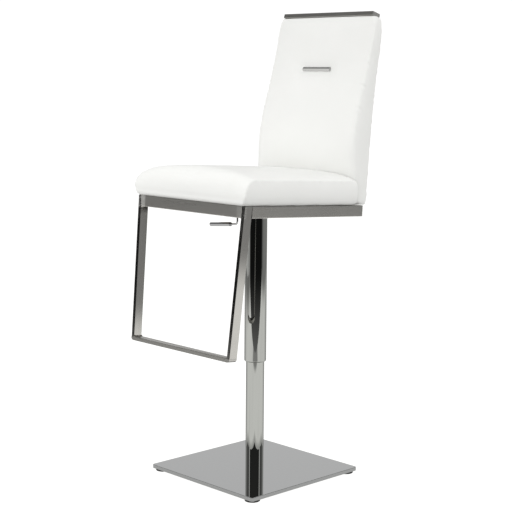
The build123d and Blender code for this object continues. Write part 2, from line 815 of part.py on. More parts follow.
def make_seat_cushion():
    middle = frame_half + SEAT_OVERHANG
    edge = middle - SEAT_DRAW_IN
    side = SEAT_SIDE_HEIGHT
    shoulder = edge - SEAT_SHOULDER_WIDTH
    rise = side + SEAT_SHOULDER_RISE
    outline = [
        Line((-edge, 0), (edge, 0)),
        ThreePointArc((edge, 0), (middle, side / 2), (edge, side)),
        Spline((edge, side), (shoulder, rise), (0, side + SEAT_CROWN), (-shoulder, rise), (-edge, side)),
        ThreePointArc((-edge, side), (-middle, side / 2), (-edge, 0)),
    ]
    front = frame_front - SEAT_OVERHANG
    section = Plane((0, front, 0), x_dir=(1, 0, 0), z_dir=(0, -1, 0)) * make_face(outline)
    cushion = extrude(section, front - seat_rear)
    nose = cushion.faces().sort_by(Axis.Y)[0].edges().sort_by(Axis.Z)[-1]
    cushion = fillet(nose, SEAT_NOSE)
    faces = cushion.faces().sort_by(Axis.X)
    seams = []
    for panel in (faces[0], faces[-1]):
        above_frame = panel.edges().sort_by(Axis.Z)[1:]
        seams += above_frame.sort_by(Axis.Y)[:-1]
    cushion = fillet(seams, SEAT_SEAM_ROUND)
    underside = cushion.edges().group_by(Axis.Z)[0].sort_by(Axis.Y)[0]
    cushion = fillet(underside, SEAT_SKIRT_ROUND)
    return cushion - board_block(LOOSE_FIT)


# Back, in the seat's frame


def spine_point(distance, offset=0.0):
    """Y and Z of a point a distance along the spine, and an offset to its rear."""
    if distance <= SPINE_STRAIGHT:
        return spine_y + offset, distance
    turn = (distance - SPINE_STRAIGHT) / spine_radius
    reach = spine_radius - offset
    return spine_y + spine_radius - reach * math.cos(turn), SPINE_STRAIGHT + reach * math.sin(turn)


def spine_plane(distance):
    """Plane square to the spine, its X across the stool and its Y to the rear."""
    turn = max(0.0, distance - SPINE_STRAIGHT) / spine_radius
    y, z = spine_point(distance)
    return Plane((0, y, z), x_dir=(1, 0, 0), z_dir=(0, math.sin(turn), math.cos(turn)))


def spine_slab(half_thickness, bottom, top):
    """Side view of a flat bar that follows the spine between two distances."""
    rise = (SPINE_STRAIGHT + top) / 2
    edges = []
    for offset in (-half_thickness, half_thickness):
        low = (spine_y + offset, bottom)
        bend = spine_point(SPINE_STRAIGHT, offset)
        edges.append(Line(low, bend))
        edges.append(ThreePointArc(bend, spine_point(rise, offset), spine_point(top, offset)))
    edges.append(Line((spine_y - half_thickness, bottom), (spine_y + half_thickness, bottom)))
    edges.append(Line(spine_point(top, -half_thickness), spine_point(top, half_thickness)))
    return Plane.YZ * make_face(edges)


def upright(side, clearance):
    """An upright of the back, or with a clearance the slot for it in the cushion."""
    half = UPRIGHT_THICKNESS / 2 + clearance
    slab = extrude(spine_slab(half, -BAR_HEIGHT, BACK_LENGTH), UPRIGHT_WIDTH / 2 + clearance, both=True)
    return Pos(side * UPRIGHT_SPACING / 2, 0, 0) * slab


def cross_rail_block(clearance):
    """The rail between the uprights that holds the strip, or with a clearance the slot for it."""
    length = UPRIGHT_SPACING - UPRIGHT_WIDTH
    height = CROSS_RAIL_HEIGHT + 2 * clearance
    block = Box(length, CROSS_RAIL_THICKNESS + 2 * clearance, height)
    return spine_plane(STRIP_HEIGHT_ON_SPINE).location * block


def back_section(share, inset, front, rear, crown):
    """One section of the back cushion, square to the spine: soft corners, crowned front, nearly flat rear."""
    half = frame_half - inset
    lean = 1 - math.sqrt(0.5)
    f = min(BACK_FRONT_ROUND, BACK_THIN_ROUND_SHARE * (front + rear))
    r = BACK_REAR_ROUND
    edges = [
        ThreePointArc((f - half, -front), (0, -front - crown), (half - f, -front)),
        Line((half, f - front), (half, rear - r)),
        ThreePointArc((half - r, rear), (0, rear + BACK_REAR_CROWN), (r - half, rear)),
        Line((-half, rear - r), (-half, f - front)),
    ]
    for side in (-1, 1):
        start = (side * (half - f), -front)
        bend = (side * (half - f * lean), f * lean - front)
        edges.append(ThreePointArc(start, bend, (side * half, f - front)))
        start = (side * half, rear - r)
        bend = (side * (half - r * lean), rear - r * lean)
        edges.append(ThreePointArc(start, bend, (side * (half - r), rear)))
    return spine_plane(share * BACK_LENGTH) * make_face(edges)


def strip_seat():
    """Distance in front of the spine of the bottom of the tuft, where the strip sits."""
    stations = [row[0] * BACK_LENGTH for row in BACK_SECTIONS]
    above = next(i for i, station in enumerate(stations) if station >= STRIP_HEIGHT_ON_SPINE)
    low, high = BACK_SECTIONS[above - 1], BACK_SECTIONS[above]
    share = (STRIP_HEIGHT_ON_SPINE - stations[above - 1]) / (stations[above] - stations[above - 1])
    front = low[2] + low[4] + share * (high[2] + high[4] - low[2] - low[4])
    return front - TUFT_DEPTH


def tuft_block():
    """The hollow that the strip pulls into the front of the back: a round bar with round ends."""
    half = STRIP_LENGTH / 2 + TUFT_END_MARGIN
    reach = half + TUFT_RADIUS
    slant = TUFT_RADIUS * math.sqrt(0.5)
    outline = [
        Line((-reach, 0), (reach, 0)),
        ThreePointArc((reach, 0), (half + slant, slant), (half, TUFT_RADIUS)),
        Line((half, TUFT_RADIUS), (-half, TUFT_RADIUS)),
        ThreePointArc((-half, TUFT_RADIUS), (-half - slant, slant), (-reach, 0)),
    ]
    hollow = revolve(make_face(outline), Axis.X)
    place = spine_plane(STRIP_HEIGHT_ON_SPINE).location
    return place * Pos(0, -strip_seat() - TUFT_RADIUS, 0) * hollow


def strip_studs(clearance):
    """The studs that hold the strip to the cross rail, or with a clearance their holes."""
    reach = strip_seat() + LOOSE_FIT - CROSS_RAIL_THICKNESS / 2
    plane = spine_plane(STRIP_HEIGHT_ON_SPINE)
    studs = []
    for side in (-1, 1):
        stud = Rot(90, 0, 0) * Cylinder(
            STRIP_STUD_DIAMETER / 2 + clearance,
            reach,
            align=(Align.CENTER, Align.CENTER, Align.MIN),
        )
        studs.append(plane.location * Pos(side * STRIP_STUD_SPACING / 2, -CROSS_RAIL_THICKNESS / 2, 0) * stud)
    return studs


def make_back_cushion():
    cushion = loft([back_section(*row) for row in BACK_SECTIONS])
    cushion -= tuft_block()
    for side in (-1, 1):
        cushion -= upright(side, LOOSE_FIT)
    cushion -= cross_rail_block(LOOSE_FIT)
    for hole in strip_studs(LOOSE_FIT):
        cushion -= hole
    return cushion


def make_back_strip():
    half = STRIP_HEIGHT / 2
    points = [(0, -half), (-STRIP_BASE, -half), (-STRIP_BASE - STRIP_RIDGE, 0), (-STRIP_BASE, half), (0, half)]
    face = Plane.YZ * make_face(Polyline(*points, close=True))
    strip = extrude(face, STRIP_LENGTH / 2, both=True)
    place = spine_plane(STRIP_HEIGHT_ON_SPINE).location
    strip = place * Pos(0, -strip_seat() - LOOSE_FIT, 0) * strip
    for stud in strip_studs(0):
        strip += stud
    return strip


def make_top_bar():
    block = Box(TOP_BAR_WIDTH, TOP_BAR_DEPTH, TOP_BAR_HEIGHT, align=(Align.CENTER, Align.CENTER, Align.MIN))
    block = fillet(block.edges(), BAR_EDGE)
    return spine_plane(BACK_LENGTH).location * block


left_leg = make_leg(-1)
right_leg = make_leg(1)

pieces = {
    "base_plate": make_base_plate(),
    "base_feet": make_base_feet(),
    "base_screws": make_base_screws(),
    "column_foot": make_column_foot(),
    "column_tube": make_column_tube(),
    "guide_bush": make_guide_bush(),
    "bearing_lower_race": make_lower_race(),
    "bearing_upper_race": make_upper_race(),
    "bearing_balls": make_bearing_balls(),
    "bearing_cage": make_bearing_cage(),
    "piston_rod": make_piston_rod(),
    "rod_clip": make_rod_clip(),
    "stop_bumper": make_stop_bumper(),
    "piston": make_piston(),
    "gas_cylinder": make_gas_cylinder(),
    "cylinder_seal": make_cylinder_seal(),
    "valve_pin": make_valve_pin(),
    "taper_hub": make_taper_hub(),
    "sleeve_collar": make_sleeve_collar(),
    "column_sleeve": make_column_sleeve(),
    "sleeve_ring": make_sleeve_ring(),
    "mechanism_channel": make_mechanism_channel(),
    "top_plate": make_top_plate(),
    "plate_bolts": make_plate_bolts(),
    "pivot_bracket": make_pivot_bracket(),
    "lever_pin": make_lever_pin(),
    "lever_rocker": make_lever_rocker(),
    "lever_rod": make_lever_rod(),
    "lever_grip": make_lever_grip(),
    "grip_collar": make_grip_collar(),
    "left_leg": seat_place * left_leg,
    "right_leg": seat_place * right_leg,
    "foot_bar": seat_place * make_foot_bar(),
    "left_rail": seat_place * make_side_rail(-1),
    "right_rail": seat_place * make_side_rail(1),
    "front_rail": seat_place * make_front_rail(left_leg, right_leg),
    "rear_rail": seat_place * make_rear_rail(),
    "corner_tabs": seat_place * make_corner_tabs([left_leg, right_leg]),
    "tab_screws": make_tab_screws(),
    "seat_board": seat_place * make_seat_board(),
    "seat_cushion": seat_place * make_seat_cushion(),
    "left_upright": seat_place * upright(-1, 0),
    "right_upright": seat_place * upright(1, 0),
    "back_cross_rail": seat_place * cross_rail_block(0),
    "back_cushion": seat_place * make_back_cushion(),
    "back_strip": seat_place * make_back_strip(),
    "top_bar": seat_place * make_top_bar(),
}

os.makedirs("parts", exist_ok=True)
for name, piece in pieces.items():
    export_step(piece, os.path.join("parts", name + ".step"))
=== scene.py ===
"""Looks of an adjustable swivel stool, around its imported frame. Metres, +Z up, stool front towards -Y."""

import math

import bmesh
import bpy
from mathutils import Matrix, Quaternion, Vector
from mathutils.bvhtree import BVHTree


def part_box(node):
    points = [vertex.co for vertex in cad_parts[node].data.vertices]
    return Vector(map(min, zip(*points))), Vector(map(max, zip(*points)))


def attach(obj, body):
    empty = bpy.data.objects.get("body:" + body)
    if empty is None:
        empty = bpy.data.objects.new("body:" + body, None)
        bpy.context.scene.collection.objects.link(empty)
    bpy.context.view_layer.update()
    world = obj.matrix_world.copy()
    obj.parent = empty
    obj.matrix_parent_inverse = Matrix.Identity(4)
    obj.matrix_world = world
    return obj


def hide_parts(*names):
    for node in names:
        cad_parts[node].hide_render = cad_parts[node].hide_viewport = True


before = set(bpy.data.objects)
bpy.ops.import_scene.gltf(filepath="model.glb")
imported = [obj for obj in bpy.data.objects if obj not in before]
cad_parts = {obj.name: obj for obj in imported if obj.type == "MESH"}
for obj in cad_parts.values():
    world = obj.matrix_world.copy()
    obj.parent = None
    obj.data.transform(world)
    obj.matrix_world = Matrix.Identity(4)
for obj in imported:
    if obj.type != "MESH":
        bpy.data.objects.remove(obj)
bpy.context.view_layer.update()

# Camera, as fitted to the corners of the base plate
CAMERA_PLACE = Vector((2.5119, -2.4209, 1.0890))
CAMERA_AZIMUTH = math.radians(46.056)
CAMERA_PITCH = math.radians(7.991)
CAMERA_ROLL = math.radians(0.442)
CAMERA_LENS = 91.82
CAMERA_SENSOR = 36.0

# Studio: the pale floor ends a little in front of the stool, and the room is dark beyond it
FLOOR_FRONT = 1.6
FLOOR_REAR = 8.0
FLOOR_SIDE = 3.5
FLOOR_GLOW = 1.0
FLOOR_SHADE = 0.15
FLOOR_BOUNCE = 0.12
BACKDROP_WHITE = 1.08
ROOM_BLACK = 0.012
ROOM_FILL = 0.90
FILL_BELOW = 0.15
ROOM_SIDE = 0.20
ROOM_BACK = 0.70
ROOM_FRONT = 0.05
STRIP_LIGHT = 1.4
FAR_LEFT = 0.80
FAR_RIGHT = 0.36
FAR_FRONT = 0.36

# How much darker reflections find the floor, and where that starts and is full
FLOOR_FADE = 0.8
FADE_LEFT = (-1.9, -3.1)
FADE_RIGHT = (2.4, 3.4)
# Painted shadow of the plate on the floor, seen only in reflections: how dark, and where it starts and is
# full
PAINTED_PLATE_SHADOW = 0.50
PLATE_SHADOW_REACH = (0.36, 0.26)
FLOOR_BEHIND = 0.68
BEHIND_TURN = (-0.15, -0.85)
FLOOR_AHEAD = 0.75
AHEAD_START = (1.20, 1.36)
AHEAD_SIDES = (0.80, 0.45)

# Where the parts of the room start and are full, by direction: towards the camera, to the right, and up
REAR_WALL = (-0.15, -0.75)
SIDE_WALL = (0.55, 0.10)
SIDE_WALL_FOOT = (0.02, 0.22)
STRIP_REAR = (0.30, 0.36)
STRIP_NEAR = (0.48, 0.42)
STRIP_FOOT = (0.12, 0.20)
STRIP_TOP = (0.70, 0.55)
FRONT_WALL = (0.15, 0.55)
FRONT_WALL_FOOT = (0.20, 0.32)
RIGHT_HALF = (-0.2, 0.2)
FAR_LEFT_EDGE = (-0.06, -0.13)
FAR_RIGHT_EDGE = (0.03, -0.02)
FAR_FRONT_EDGE = (-0.15, -0.26)
HORIZON = (-0.01, 0.01)
FILL_EDGE = (-0.30, 0.10)

# Lights: place and power, all of one size and aimed at the stool
STOOL_MIDDLE = Vector((0, 0, 0.9))
LIGHT_SIZE = 2.0
LIGHTS = {
    "front": ((-0.4, -3.0, 1.3), 34),
    "right": ((3.2, 0.4, 1.8), 13),
    "right_above": ((2.8, 0.6, 3.0), 14),
    "rear": ((-0.8, 3.0, 2.2), 18),
}

# Cushions
SAME_POINT = 1e-6
COVER_VOXEL = 0.005
COVER_EVENING = 2
COVER_FIT = 0.85
COVER_PRESSURE = 5.0
COVER_FRAMES = 20
COVER_START = 0.2
SEAT_SWELL = 0.004
BACK_SWELL = 0.006
SEAT_COVER = 0.002
BACK_COVER = 0.0005
SEAM_TURN = math.radians(45)
SEAM_SPREAD = math.radians(20)
SEAM_RIDGE = 0.0014
HOLD_FADE = 0.025
CONTACT_FADE = 0.090
TUCK_HEIGHT = 0.011
TUCK_DEPTH = 0.002
SETTLE_DEPTH = 0.0045
SETTLE_REACH = 0.110
PUCKER_LENGTH = 0.034
PUCKER_DEPTH = 0.0008
PUCKER_SPREAD = math.radians(24)
PUCKER_WANDER = 1.9
PUCKER_DRIFT = 2.7
PUCKER_OFFSET = 2.2
PUCKER_BUNCH = 4.3

# Flat bars: how far in from their ends and corners the ground metal reaches, at ends with a painted highlight
# on the edge
BAR_EDGE = 0.0016
CORNER_INSET = 0.016
CORNER_BLEND = 0.004
CORNER_DEPTH = 0.006
CORNER_RISE = 0.002
CORNER_DROP = 0.008
LENGTH_X = (0.03, 1, 1)
LENGTH_Y = (1, 0.03, 1)
LENGTH_Z = (1, 1, 0.03)
LINES_LEVEL = 0.25
LINES_UPRIGHT = 0.0

# Welds of the footrest loop
LEG_THICKNESS = 0.010
WELD_SIZE = 0.0030
WELD_RIPPLE = 0.12
WELD_STEP = 0.0011
WELD_SIDES = 16
WELD_INSET = 0.0015
WELD_FROM_SIDE = 0.001
WELD_LIFT = 0.0003

scene = bpy.context.scene
scene.view_settings.view_transform = "Standard"

# Level directions from the stool to the camera and to the camera's right
to_camera = Vector((math.sin(CAMERA_AZIMUTH), -math.cos(CAMERA_AZIMUTH), 0))
to_right = Vector((math.cos(CAMERA_AZIMUTH), math.sin(CAMERA_AZIMUTH), 0))

# Places in the frame that materials and new pieces go by
front_low, front_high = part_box("front_rail")
leg_low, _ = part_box("right_leg")
_, rear_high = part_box("rear_rail")
bar_low, bar_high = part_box("foot_bar")
_, top_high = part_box("top_bar")
_, seat_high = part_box("seat_cushion")
back_low, back_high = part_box("back_cushion")
strip_low, strip_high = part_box("back_strip")
seat_plane_point = Vector((0, front_low.y, front_high.z))
seat_up = Vector((0, front_high.z - rear_high.z, rear_high.y - front_low.y)).normalized()
corner_full = front_high.x - CORNER_INSET
corner_front = front_low.y + CORNER_DEPTH
corner_high = front_low.z + CORNER_RISE


# Shader maths


class Value:
    """A node's output socket, with Python operators that add Math nodes."""

    def __init__(self, finish, socket):
        self.finish = finish
        self.socket = socket

    def math(self, operation, *values):
        return self.finish.node("ShaderNodeMath", {"operation": operation}, dict(enumerate(values)))

    def __add__(self, other):
        return self.math("ADD", self, other)

    def __radd__(self, other):
        return self.math("ADD", other, self)

    def __sub__(self, other):
        return self.math("SUBTRACT", self, other)

    def __rsub__(self, other):
        return self.math("SUBTRACT", other, self)

    def __mul__(self, other):
        return self.math("MULTIPLY", self, other)

    def __rmul__(self, other):
        return self.math("MULTIPLY", other, self)

    def __truediv__(self, other):
        return self.math("DIVIDE", self, other)

    def __rtruediv__(self, other):
        return self.math("DIVIDE", other, self)

    def __abs__(self):
        return self.math("ABSOLUTE", self)

    def larger(self, other):
        return self.math("MAXIMUM", self, other)

    def root(self):
        return self.math("SQRT", self)

    def ramp(self, low, high):
        """0 below low, 1 above high, and smooth between them; low may be the larger of the two."""
        settings = {"interpolation_type": "SMOOTHSTEP"}
        if low < high:
            return self.finish.node("ShaderNodeMapRange", settings, {0: self, 1: low, 2: high})
        return 1 - self.finish.node("ShaderNodeMapRange", settings, {0: self, 1: high, 2: low})


class Finish:
    """A node tree that is filled from Python: a material's, or the world's."""

    def __init__(self, owner):
        owner.use_nodes = True
        self.owner = owner
        self.tree = owner.node_tree
        self.tree.nodes.clear()

    def node(self, kind, settings=None, inputs=None, output=0):
        """Adds a node, sets its settings, then the values or links of its sockets, and gives one output."""
        made = self.tree.nodes.new(kind)
        for name, value in (settings or {}).items():
            setattr(made, name, value)
        for key, value in (inputs or {}).items():
            if isinstance(value, Value):
                self.tree.links.new(value.socket, made.inputs[key])
            else:
                made.inputs[key].default_value = value
        return Value(self, made.outputs[output]) if made.outputs else None

    def place(self, scale=(1, 1, 1)):
        """Object coordinates, stretched by a scale."""
        coordinates = self.node("ShaderNodeTexCoord", output="Object")
        return self.node("ShaderNodeMapping", inputs={"Vector": coordinates, "Scale": scale})

    def axes(self, vector):
        """The X, Y and Z of a vector."""
        parts = self.node("ShaderNodeSeparateXYZ", inputs={0: vector}).socket.node
        return [Value(self, socket) for socket in parts.outputs]

    def ray(self, kind):
        """1 for rays of a kind, such as those that leave a mirror, and 0 for all others."""
        return self.node("ShaderNodeLightPath", output=kind)

    def noise(self, scale, detail=3.0, stretch=(1, 1, 1)):
        inputs = {"Vector": self.place(stretch), "Scale": scale, "Detail": detail}
        return self.node("ShaderNodeTexNoise", inputs=inputs)

    def cells(self, scale):
        """Distance to the edges of small uneven cells."""
        inputs = {"Vector": self.place(), "Scale": scale}
        return self.node("ShaderNodeTexVoronoi", {"feature": "DISTANCE_TO_EDGE"}, inputs)

    def tint(self, share, low, high, blend="MIX"):
        """A colour between two, by a share."""
        settings = {"data_type": "RGBA", "blend_type": blend}
        low = low if isinstance(low, Value) else (*low, 1)
        return self.node("ShaderNodeMix", settings, {0: share, 6: low, 7: (*high, 1)}, output=2)

    def bump(self, height, distance, strength=1.0, below=None):
        """A normal from a height, on top of another bump where one is given."""
        inputs = {"Height": height, "Distance": distance, "Strength": strength}
        if below is not None:
            inputs["Normal"] = below
        return self.node("ShaderNodeBump", inputs=inputs)

    def shade(self, **sockets):
        """The surface itself, from socket names with underscores for spaces."""
        inputs = {name.replace("_", " "): value for name, value in sockets.items()}
        surface = self.node("ShaderNodeBsdfPrincipled", inputs=inputs)
        self.node("ShaderNodeOutputMaterial", inputs={0: surface})
        return self.owner


def finish(name):
    return Finish(bpy.data.materials.new(name))


# Materials


def white_cover():
    """White coated fabric with a fine leather grain, a little uneven in tone."""
    f = finish("white_cover")
    grain = f.cells(760).ramp(0.0, 0.32)
    pores = f.noise(2600, 2)
    creases = f.noise(26, 4)
    mottle = f.noise(11, 3)
    normal = f.bump(creases, 0.0016, 0.25)
    normal = f.bump(grain, 0.00016, 0.30, normal)
    normal = f.bump(pores, 0.00006, 0.20, normal)
    return f.shade(
        Base_Color=f.tint(mottle, (0.845, 0.85, 0.825), (0.885, 0.885, 0.865)),
        Roughness=0.50 - 0.10 * grain + 0.06 * mottle,
        Normal=normal,
        Coat_Weight=0.05,
        Sheen_Weight=0.05,
    )


def mirror_chrome(name, shade, smear, drawn=0.0):
    """Polished plating with faint wipe marks and, on tube, the lines that drawing left along it."""
    f = finish(name)
    wipe = f.noise(9, 4, (1, 1, 0.35))
    dust = f.noise(420, 2)
    lines = f.noise(130, 3, (1, 1, 0.012))
    low = 0.97 - drawn
    return f.shade(
        Base_Color=f.tint(0.3 * wipe + 0.7 * lines.ramp(0.32, 0.62), [low * c for c in shade], shade),
        Metallic=1.0,
        Roughness=0.02 + smear * wipe.ramp(0.35, 0.75) + 0.008 * dust,
        Normal=f.bump(lines, 0.00004, drawn, f.bump(dust, 0.00001, 0.05)),
    )


def satin_bar(name, stretch, turn, rough, ground_and_glint_end=None):
    """Nickel plated flat bar with fine polishing lines, ground brighter at welded corners; at cut ends
    brighter as ground metal and a painted highlight on the edge.
    """
    f = finish(name)
    lines = f.noise(190, 3, stretch)
    cloud = f.noise(14, 4)
    x, y, z = f.axes(f.place())
    corner = abs(x).ramp(corner_full - CORNER_BLEND, corner_full)
    corner = corner * y.ramp(corner_front + CORNER_DEPTH, corner_front)
    corner = corner * z.ramp(corner_high - CORNER_DROP, corner_high)
    mottle = f.noise(240, 4).ramp(0.42, 0.60)
    if ground_and_glint_end:
        # At a cut end: bare ground metal, and a painted highlight along the rounded edge of the end face
        ground_and_glint = abs(x).ramp(ground_and_glint_end - BAR_EDGE, ground_and_glint_end - BAR_EDGE / 4) * (0.5 + 0.3 * mottle)
    else:
        ground_and_glint = corner * (0.25 + 0.75 * x.ramp(0.0, -0.1)) * (0.6 + 0.4 * mottle)
    plain = f.tint(cloud, (0.455, 0.445, 0.42), (0.495, 0.485, 0.46))
    normal = f.bump(lines, 0.00004, 0.25)
    normal = f.bump(mottle * corner, 0.0002, 0.35, normal)
    return f.shade(
        Base_Color=f.tint(ground_and_glint, plain, (0.86, 0.85, 0.82)),
        Metallic=1.0,
        Roughness=rough + 0.06 * lines + 0.03 * cloud + 0.22 * ground_and_glint,
        Normal=normal,
        Anisotropic=0.85,
        Anisotropic_Rotation=turn,
    )


def ground_weld():
    """Bare weld metal, dressed by hand and a little dull."""
    f = finish("weld_metal")
    mottle = f.noise(320, 4)
    return f.shade(
        Base_Color=f.tint(mottle, (0.52, 0.51, 0.49), (0.74, 0.73, 0.70)),
        Metallic=1.0,
        Roughness=0.34 + 0.16 * mottle,
        Normal=f.bump(mottle, 0.0002, 0.4),
    )


def pad_rubber():
    """Dull black rubber."""
    f = finish("pad_rubber")
    specks = f.noise(900, 3)
    return f.shade(
        Base_Color=f.tint(specks, (0.018, 0.018, 0.018), (0.035, 0.034, 0.033)),
        Roughness=0.72 + 0.15 * specks,
        Normal=f.bump(specks, 0.0001, 0.4),
    )


def black_paint():
    """Powder coat on pressed steel."""
    f = finish("black_paint")
    peel = f.noise(620, 2)
    cloud = f.noise(20, 3)
    return f.shade(
        Base_Color=f.tint(cloud, (0.016, 0.016, 0.017), (0.028, 0.028, 0.029)),
        Roughness=0.38 + 0.12 * peel,
        Normal=f.bump(peel, 0.00012, 0.35),
        Coat_Weight=0.15,
    )


def turned_steel():
    """Bright machined steel, with turning marks up the column axis."""
    f = finish("turned_steel")
    marks = f.noise(60, 2, (1, 1, 40))
    return f.shade(
        Base_Color=f.tint(marks, (0.50, 0.50, 0.49), (0.60, 0.60, 0.59)),
        Metallic=1.0,
        Roughness=0.20 + 0.14 * marks,
        Normal=f.bump(marks, 0.00003, 0.3),
    )


def guide_plastic():
    """Dark moulded plastic with a fine texture."""
    f = finish("guide_plastic")
    specks = f.noise(700, 2)
    return f.shade(
        Base_Color=f.tint(specks, (0.05, 0.05, 0.052), (0.07, 0.07, 0.072)),
        Roughness=0.42 + 0.10 * specks,
        Normal=f.bump(specks, 0.00005, 0.3),
    )


def plywood():
    """Birch plywood, its grain along the seat."""
    f = finish("plywood")
    fibre = f.noise(55, 4, (6, 0.35, 6))
    figure = f.noise(7, 3, (2.2, 0.5, 2.2))
    pores = f.noise(900, 2, (1, 0.06, 1)).ramp(0.55, 0.75)
    light = f.tint(figure, (0.50, 0.35, 0.20), (0.66, 0.50, 0.32))
    return f.shade(
        Base_Color=f.tint(fibre * 0.35, light, (0.62, 0.45, 0.30), "MULTIPLY"),
        Roughness=0.58 + 0.12 * fibre,
        Normal=f.bump(fibre - 0.6 * pores, 0.0002, 0.3),
    )


cover = white_cover()
finishes = {
    cover: ["seat_cushion", "back_cushion"],
    mirror_chrome("plate_chrome", (0.495, 0.50, 0.50), 0.015): ["base_plate"],
    mirror_chrome("column_chrome", (0.41, 0.415, 0.395), 0.02, 0.10): ["column_tube", "column_sleeve"],
    mirror_chrome("ring_chrome", (0.72, 0.72, 0.71), 0.06): ["sleeve_collar"],
    mirror_chrome("strip_chrome", (0.48, 0.48, 0.47), 0.05): ["back_strip"],
    mirror_chrome("lever_chrome", (0.52, 0.52, 0.525), 0.05): ["lever_rod", "lever_grip", "grip_collar"],
    satin_bar("bar_across", LENGTH_X, LINES_LEVEL, 0.24): ["front_rail", "rear_rail", "foot_bar"],
    satin_bar("bar_on_top", LENGTH_X, LINES_LEVEL, 0.24, top_high.x): ["top_bar"],
    satin_bar("bar_along", LENGTH_Y, LINES_LEVEL, 0.20): ["left_rail", "right_rail"],
    satin_bar("bar_upright", LENGTH_Z, LINES_UPRIGHT, 0.09): ["left_leg", "right_leg"],
    pad_rubber(): ["base_feet", "stop_bumper"],
    black_paint(): [
        "mechanism_channel",
        "top_plate",
        "pivot_bracket",
        "taper_hub",
        "gas_cylinder",
        "corner_tabs",
        "left_upright",
        "right_upright",
        "back_cross_rail",
    ],
    turned_steel(): [
        "base_screws",
        "column_foot",
        "bearing_lower_race",
        "bearing_upper_race",
        "bearing_balls",
        "piston_rod",
        "rod_clip",
        "piston",
        "valve_pin",
        "plate_bolts",
        "lever_pin",
        "lever_rocker",
        "tab_screws",
    ],
    guide_plastic(): ["guide_bush", "bearing_cage", "cylinder_seal", "sleeve_ring"],
    plywood(): ["seat_board"],
}
for material, nodes in finishes.items():
    for node in nodes:
        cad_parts[node].material_slots[0].material = material


# Helpers for new pieces


def piece_from(bm, name, material):
    """A new object at the origin, from a bmesh that is already in place."""
    mesh = bpy.data.meshes.new(name)
    bm.to_mesh(mesh)
    bm.free()
    mesh.materials.append(material)
    mesh.shade_smooth()
    piece = bpy.data.objects.new(name, mesh)
    scene.collection.objects.link(piece)
    return piece


def take_modifiers(piece):
    """Makes the result of a piece's modifiers its mesh, and removes them."""
    depsgraph = bpy.context.evaluated_depsgraph_get()
    made = bpy.data.meshes.new_from_object(piece.evaluated_get(depsgraph))
    piece.modifiers.clear()
    piece.data = made
    made.shade_smooth()


def move_all(piece, move):
    """Moves each vertex of a piece by what a function gives for it, all worked out before the first moves."""
    mesh = piece.data
    moves = [move(vertex) for vertex in mesh.vertices]
    for vertex, step in zip(mesh.vertices, moves):
        vertex.co += step
    mesh.update()


# Cushions


def fade(distance, reach=HOLD_FADE):
    """1 at a place that is held, easing to 0 a little way off."""
    share = max(0.0, min(1.0, 1 - distance / reach))
    return share * share * (3 - 2 * share)


def outside(value, low, high):
    """How far a value lies outside a range."""
    return max(low - value, value - high, 0.0)


def above_frame(point):
    """Height of a point over the seat frame's top, square to its slope."""
    return (point - seat_plane_point).dot(seat_up)


def seam_share(normal, spread=SEAM_SPREAD):
    """1 on the edge where a cushion's face turns into its side, fading out beside it."""
    turn = math.asin(min(1.0, abs(normal.x)))
    return math.exp(-(((turn - SEAM_TURN) / spread) ** 2))


def pucker(point):
    """Height, from -1 to 1, of the uneven little gathers that a stitched seam pulls up along its run."""
    run = 2 * math.pi * (point.y + point.z) / PUCKER_LENGTH
    offset = PUCKER_OFFSET if point.x > 0 else 0.0
    gather = math.sin(run + PUCKER_WANDER * math.sin(run / PUCKER_DRIFT) + offset)
    return gather * math.sin(run / PUCKER_BUNCH) ** 2


def hold_seat(vertex):
    """Where the seat rests on its frame and leans on the back."""
    return max(fade(above_frame(vertex.co)), fade(seat_high.y - vertex.co.y))


def hold_back(vertex):
    """Where the back stands on the frame, meets the seat, ends under the top bar and lies under the strip."""
    point = vertex.co
    faces_front = fade(1 + vertex.normal.y, 1.0)
    to_seat = outside(point.z, back_low.z, seat_high.z) + outside(abs(point.x), 0, seat_high.x - HOLD_FADE)
    strip_aside = outside(point.x, strip_low.x, strip_high.x)
    strip_above = outside(point.z, strip_low.z, strip_high.z)
    to_strip = Vector((strip_aside, strip_above)).length
    in_contact = max(fade(to_seat, CONTACT_FADE), fade(to_strip))
    return max(fade(above_frame(point)), fade(back_high.z - point.z), in_contact * faces_front)


def skin_round(name, nodes, material):
    """One closed skin round a cushion's solid and the pieces inside it, evened out after the remesh."""
    bm = bmesh.new()
    for node in nodes:
        bm.from_mesh(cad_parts[node].data)
    bmesh.ops.remove_doubles(bm, verts=bm.verts, dist=SAME_POINT)
    below = {"plane_co": seat_plane_point, "plane_no": seat_up, "clear_inner": True}
    bmesh.ops.bisect_plane(bm, geom=bm.verts[:] + bm.edges[:] + bm.faces[:], **below)
    bmesh.ops.holes_fill(bm, edges=bm.edges)
    solid = BVHTree.FromBMesh(bm)
    piece = piece_from(bm, name, material)
    remesh = piece.modifiers.new("skin", "REMESH")
    remesh.mode = "VOXEL"
    remesh.voxel_size = COVER_VOXEL
    take_modifiers(piece)
    bm = bmesh.new()
    bm.from_mesh(piece.data)
    all_ways = {"use_axis_x": True, "use_axis_y": True, "use_axis_z": True}
    for _ in range(COVER_EVENING):
        bmesh.ops.smooth_vert(bm, verts=bm.verts, factor=0.5, **all_ways)
    for vertex in bm.verts:
        place = solid.find_nearest(vertex.co, COVER_VOXEL)[0]
        if place:
            vertex.co = vertex.co.lerp(place, COVER_FIT * (1 - fade(above_frame(vertex.co))))
    bm.to_mesh(piece.data)
    bm.free()
    return piece


